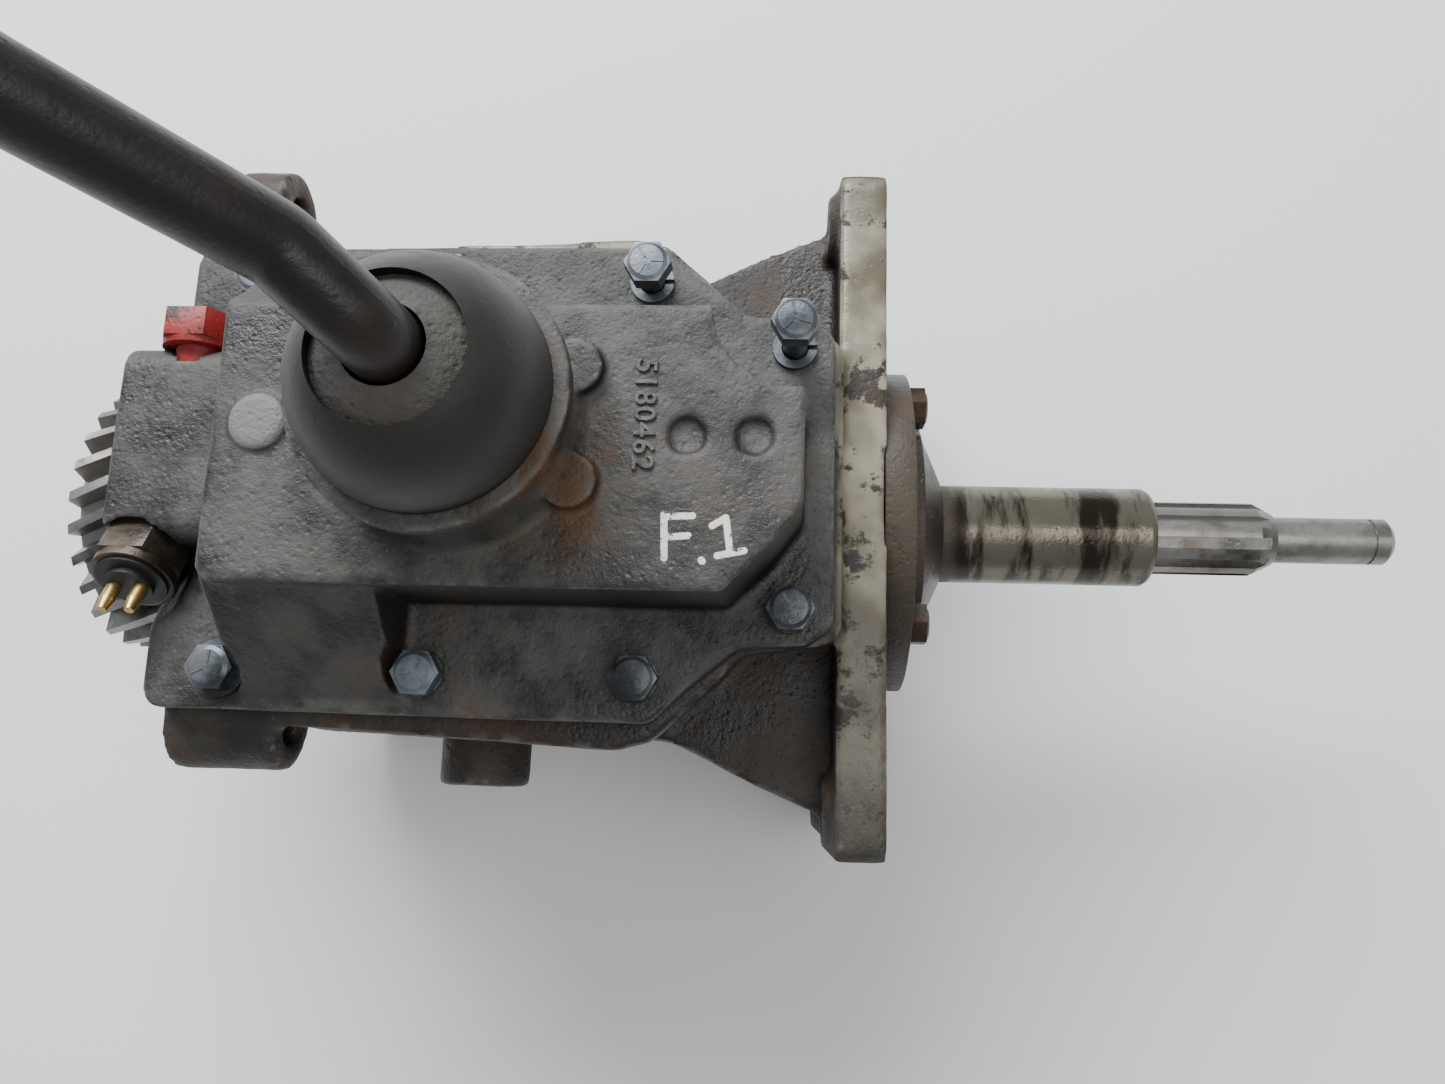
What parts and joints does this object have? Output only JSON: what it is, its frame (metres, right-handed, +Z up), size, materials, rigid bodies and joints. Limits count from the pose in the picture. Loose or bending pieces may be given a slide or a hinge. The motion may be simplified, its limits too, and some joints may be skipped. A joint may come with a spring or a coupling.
{
  "type": "manual gearbox",
  "caption": "Top-shift manual gearbox with cane lever, bell-housing flange, splined input shaft and a helical gear on its tail.",
  "frame": {"origin": "on the main shaft axis, in the front face of the bell-housing flange", "axes": "+X along the shafts towards the input end, +Z up towards the lever, +Y completes the right-handed frame"},
  "size_m": [0.49, 0.233, 0.4689],
  "materials": {
    "cast_iron": "rough sand-cast iron, dark with oily grime",
    "rusty_cast_iron": "cast iron browned with rust",
    "pressed_steel": "smooth pressed steel, dark olive",
    "gasket": "oil-soaked gasket paper",
    "zinc_bolts": "dull zinc-plated steel",
    "dark_bolts": "steel with rust bloom",
    "seal_rubber": "black nitrile rubber",
    "gritty_felt": "steel cap under gritty dust and grease",
    "lever_steel": "black-brown worn steel bar",
    "knob_plastic": "black moulded plastic",
    "red_paint": "red paint worn to grey metal at the edges",
    "rusty_steel": "plain steel with rust",
    "black_insulator": "black phenolic",
    "brass": "brass",
    "bronze": "bronze",
    "cast_steel": "cast steel, machined where it slides",
    "machined_steel": "ground and hobbed steel, oiled"
  },
  "bodies": {
    "housing": {"gear_case": "cast_iron", "top_cover": "cast_iron", "cover_gasket": "gasket", "cover_bolts": "zinc_bolts", "cover_washers": "zinc_bolts", "front_retainer": "rusty_cast_iron", "retainer_gasket": "gasket", "retainer_bolts": "dark_bolts", "input_oil_seal": "seal_rubber", "bearing_outer_races": "machined_steel", "bearing_balls": "machined_steel", "countershaft_pin": "machined_steel", "thrust_washers": "bronze", "idler_pin": "machined_steel", "dome_cap": "pressed_steel", "detent_balls": "machined_steel", "detent_springs": "machined_steel", "interlock_pins": "machined_steel", "rear_hex_plug": "red_paint", "switch_body": "rusty_steel", "switch_insulator": "black_insulator", "switch_terminals": "brass", "fill_and_drain_plugs": "rusty_steel"},
    "countershaft": {"cluster_gear": "machined_steel", "countershaft_needles": "machined_steel"},
    "input_shaft": {"input_shaft": "machined_steel", "front_bearing_inner": "machined_steel", "pilot_needle_bearing": "machined_steel"},
    "main_shaft": {"mainshaft": "machined_steel", "hub_12": "machined_steel", "hub_34": "machined_steel", "synchro_keys": "machined_steel", "blocker_rings": "bronze", "rear_bearing_inner": "machined_steel", "tail_spacer": "machined_steel", "tail_drive_gear": "machined_steel", "tail_nut": "machined_steel"},
    "third_gear": {"third_gear": "machined_steel"},
    "second_gear": {"second_gear": "machined_steel"},
    "first_gear": {"first_gear": "machined_steel"},
    "reverse_idler": {"idler_gear": "machined_steel", "idler_bush": "bronze"},
    "shift_34": {"rail_34": "machined_steel", "gate_34": "cast_steel", "fork_34": "cast_steel"},
    "shift_12": {"rail_12": "machined_steel", "gate_12": "cast_steel", "fork_12": "cast_steel"},
    "shift_reverse": {"rail_reverse": "machined_steel", "gate_reverse": "cast_steel", "fork_reverse": "cast_steel"},
    "sleeve_34": {"sleeve_34": "machined_steel"},
    "sleeve_12": {"sleeve_12": "machined_steel"},
    "reverse_gear": {"reverse_sliding_gear": "machined_steel"},
    "lever_pin": {"pivot_pin": "machined_steel"},
    "shift_lever": {"lever_ball": "machined_steel", "lever_rod": "lever_steel", "lever_knob": "knob_plastic", "dust_cap": "gritty_felt", "lever_spring": "machined_steel"}
  },
  "joints": [
    {"name": "countershaft_spin", "type": "hinge", "parent": "housing", "child": "countershaft", "pos_m": [0, 0, -0.06875], "axis": [1, 0, 0], "continuous": true},
    {"name": "input_spin", "type": "hinge", "parent": "housing", "child": "input_shaft", "pos_m": [0, 0, 0], "axis": [1, 0, 0], "continuous": true},
    {"name": "output_spin", "type": "hinge", "parent": "housing", "child": "main_shaft", "pos_m": [0, 0, 0], "axis": [1, 0, 0], "continuous": true},
    {"name": "third_spin", "type": "hinge", "parent": "housing", "child": "third_gear", "pos_m": [0, 0, 0], "axis": [1, 0, 0], "continuous": true},
    {"name": "second_spin", "type": "hinge", "parent": "housing", "child": "second_gear", "pos_m": [0, 0, 0], "axis": [1, 0, 0], "continuous": true},
    {"name": "first_spin", "type": "hinge", "parent": "housing", "child": "first_gear", "pos_m": [0, 0, 0], "axis": [1, 0, 0], "continuous": true},
    {"name": "idler_spin", "type": "hinge", "parent": "housing", "child": "reverse_idler", "pos_m": [0, 0.03935, -0.05638], "axis": [1, 0, 0], "continuous": true},
    {"name": "shift_rail_34", "type": "slide", "parent": "housing", "child": "shift_34", "axis": [1, 0, 0], "range_m": [-0.008, 0.008]},
    {"name": "shift_rail_12", "type": "slide", "parent": "housing", "child": "shift_12", "axis": [1, 0, 0], "range_m": [-0.008, 0.008]},
    {"name": "shift_rail_reverse", "type": "slide", "parent": "housing", "child": "shift_reverse", "axis": [1, 0, 0], "range_m": [-0.008, 0]},
    {"name": "sleeve_34_spin", "type": "hinge", "parent": "shift_34", "child": "sleeve_34", "pos_m": [0, 0, 0], "axis": [1, 0, 0], "continuous": true},
    {"name": "sleeve_12_spin", "type": "hinge", "parent": "shift_12", "child": "sleeve_12", "pos_m": [0, 0, 0], "axis": [1, 0, 0], "continuous": true},
    {"name": "reverse_gear_spin", "type": "hinge", "parent": "shift_reverse", "child": "reverse_gear", "pos_m": [0, 0, 0], "axis": [1, 0, 0], "continuous": true},
    {"name": "lever_select", "type": "hinge", "parent": "housing", "child": "lever_pin", "pos_m": [-0.127, 0.006, 0.1444], "axis": [1, 0, 0], "range_deg": [-11.2, 11.2]},
    {"name": "lever_shift", "type": "hinge", "parent": "lever_pin", "child": "shift_lever", "pos_m": [-0.127, 0.006, 0.1444], "axis": [0, -1, 0], "range_deg": [-9.45, 9.45]}
  ],
  "couplings": [
    {"joint": "input_spin", "follows": "countershaft_spin", "ratio": -1.5},
    {"joint": "third_spin", "follows": "countershaft_spin", "ratio": -1},
    {"joint": "second_spin", "follows": "countershaft_spin", "ratio": -0.66667},
    {"joint": "first_spin", "follows": "countershaft_spin", "ratio": -0.38889},
    {"joint": "idler_spin", "follows": "countershaft_spin", "ratio": -0.66667},
    {"joint": "sleeve_34_spin", "follows": "output_spin", "ratio": 1},
    {"joint": "sleeve_12_spin", "follows": "output_spin", "ratio": 1},
    {"joint": "reverse_gear_spin", "follows": "output_spin", "ratio": 1},
    {"joint": "shift_rail_12", "follows": "lever_shift", "m_per_rad": 0.048}
  ]
}
